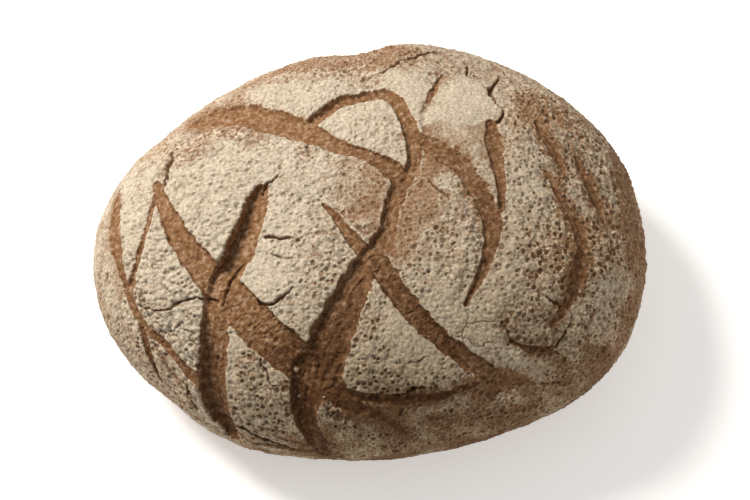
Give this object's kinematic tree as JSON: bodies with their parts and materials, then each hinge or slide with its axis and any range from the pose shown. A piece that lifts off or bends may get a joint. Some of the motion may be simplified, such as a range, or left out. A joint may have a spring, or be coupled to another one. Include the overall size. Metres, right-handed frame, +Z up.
{
  "type": "mixed wheat sourdough loaf",
  "caption": "Uncut round-oval country loaf with a flour-dusted, pitted crust and a network of opened scores across its crown.",
  "frame": {"origin": "centre of the loaf's box, on the flat base that it stands on", "axes": "+X along the loaf's length, +Y across it, away from the front, +Z up through the crown"},
  "size_m": [0.2812, 0.2276, 0.1138],
  "materials": {
    "crust": "matt baked crust dusted with flour, brown where the scores have torn open"
  },
  "bodies": {
    "root": {"loaf": "crust"}
  },
  "joints": []
}
